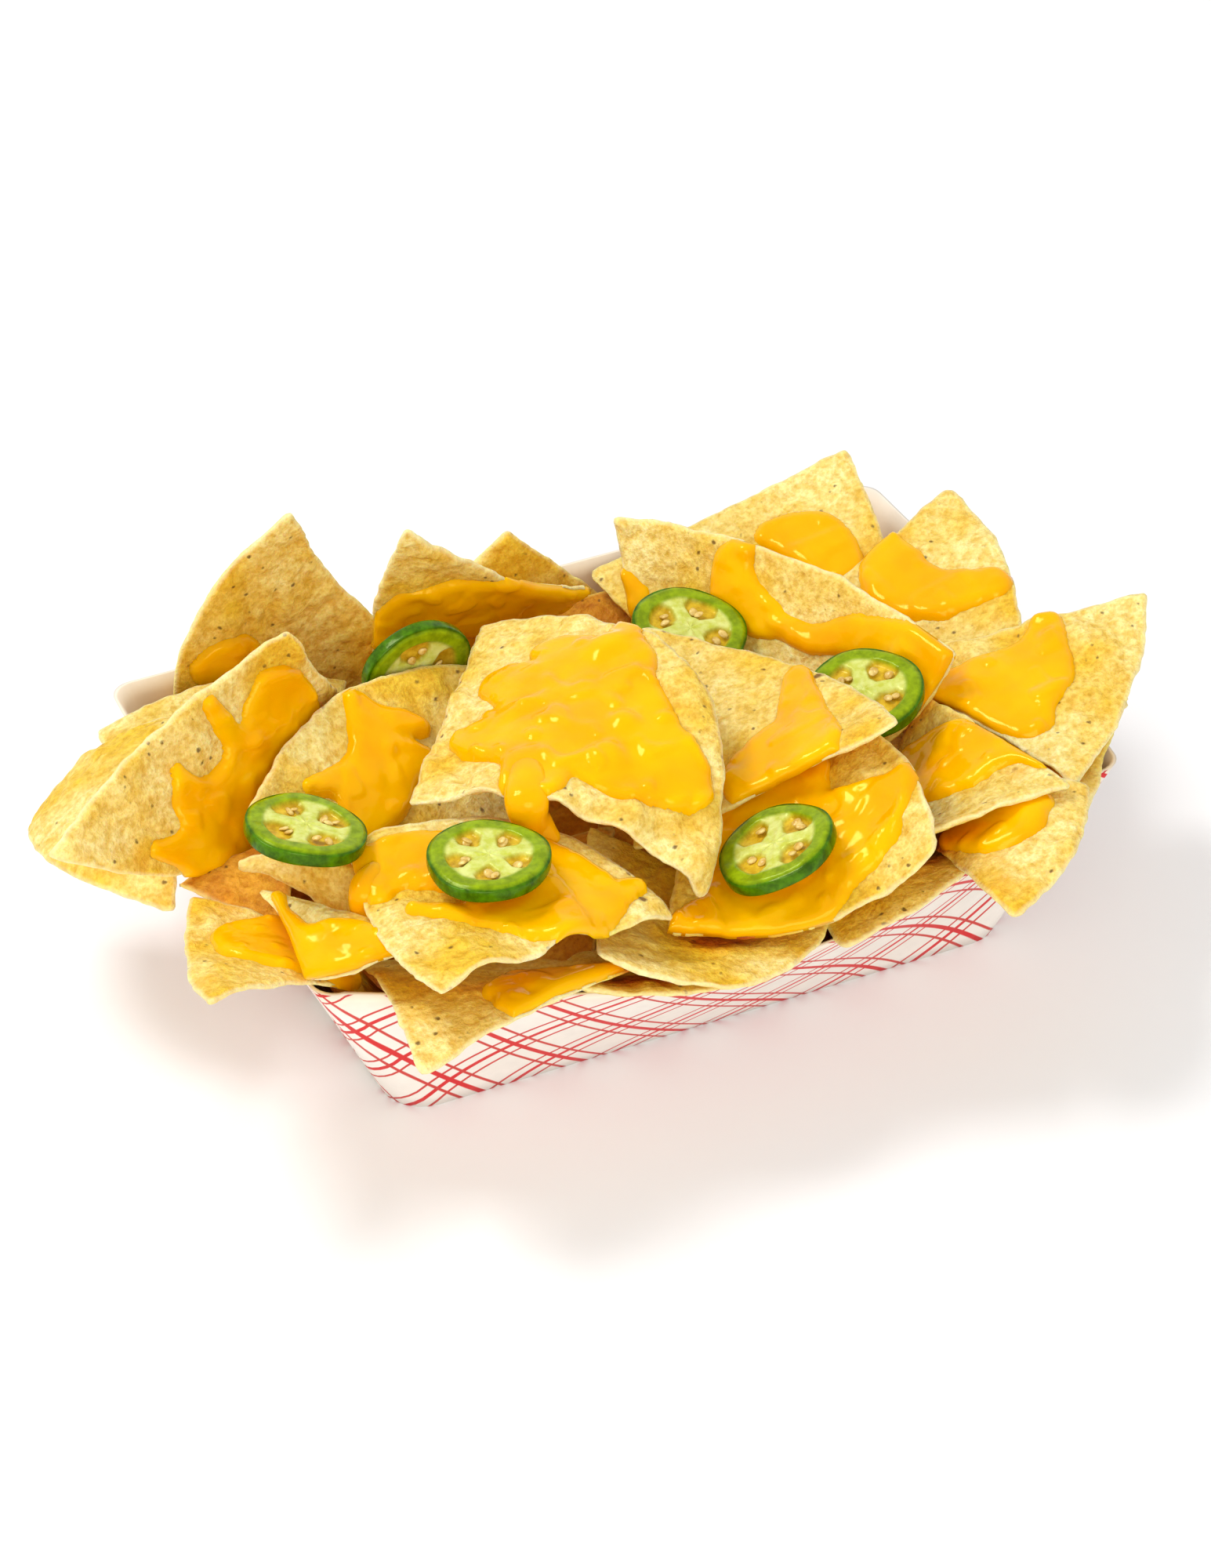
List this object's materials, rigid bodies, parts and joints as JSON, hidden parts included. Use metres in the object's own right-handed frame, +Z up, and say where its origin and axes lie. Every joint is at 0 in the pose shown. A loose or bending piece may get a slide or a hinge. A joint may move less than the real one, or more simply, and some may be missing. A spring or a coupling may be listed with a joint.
{
  "type": "nachos in a paper tray",
  "caption": "Corn tortilla chips piled in a slant-walled folded paper food tray, with thick melted cheese sauce and jalapeno slices on top.",
  "frame": {"origin": "middle of the tray's flat base, on the table", "axes": "+X along the tray's long side to the right, +Y to its back, +Z up"},
  "size_m": [0.2481, 0.1576, 0.0875],
  "materials": {
    "tray_board": "matt white board printed with thin red check lines outside",
    "tortilla_chip": null,
    "cheese_sauce": null,
    "jalapeno": null
  },
  "bodies": {
    "root": {"cheese_back_left": "cheese_sauce", "cheese_back_mid": "cheese_sauce", "cheese_back_mid_end": "cheese_sauce", "cheese_back_right": "cheese_sauce", "cheese_centre_right": "cheese_sauce", "cheese_front_left": "cheese_sauce", "cheese_front_left_inner": "cheese_sauce", "cheese_front_low": "cheese_sauce", "cheese_front_mid": "cheese_sauce", "cheese_left_big": "cheese_sauce", "cheese_left_mid": "cheese_sauce", "cheese_mid_left_back": "cheese_sauce", "cheese_right_back": "cheese_sauce", "cheese_right_big": "cheese_sauce", "cheese_right_centre": "cheese_sauce", "cheese_right_low": "cheese_sauce", "cheese_right_mid": "cheese_sauce", "cheese_top_centre": "cheese_sauce", "chip_back_left": "tortilla_chip", "chip_back_mid": "tortilla_chip", "chip_back_right": "tortilla_chip", "chip_centre_right_back": "tortilla_chip", "chip_far_left": "tortilla_chip", "chip_front_left": "tortilla_chip", "chip_front_left_inner": "tortilla_chip", "chip_front_low": "tortilla_chip", "chip_front_mid": "tortilla_chip", "chip_front_right_low": "tortilla_chip", "chip_front_sliver": "tortilla_chip", "chip_heap": "tortilla_chip", "chip_left_big": "tortilla_chip", "chip_left_curl": "tortilla_chip", "chip_left_mid": "tortilla_chip", "chip_left_under": "tortilla_chip", "chip_mid_back": "tortilla_chip", "chip_mid_left_back": "tortilla_chip", "chip_right_back": "tortilla_chip", "chip_right_big": "tortilla_chip", "chip_right_centre": "tortilla_chip", "chip_right_end": "tortilla_chip", "chip_right_low": "tortilla_chip", "chip_right_mid": "tortilla_chip", "chip_right_under": "tortilla_chip", "chip_top_centre": "tortilla_chip", "jalapeno_back": "jalapeno", "jalapeno_back_right": "jalapeno", "jalapeno_front": "jalapeno", "jalapeno_left": "jalapeno", "jalapeno_left_back": "jalapeno", "jalapeno_right": "jalapeno", "paper_tray": "tray_board"}
  },
  "joints": []
}
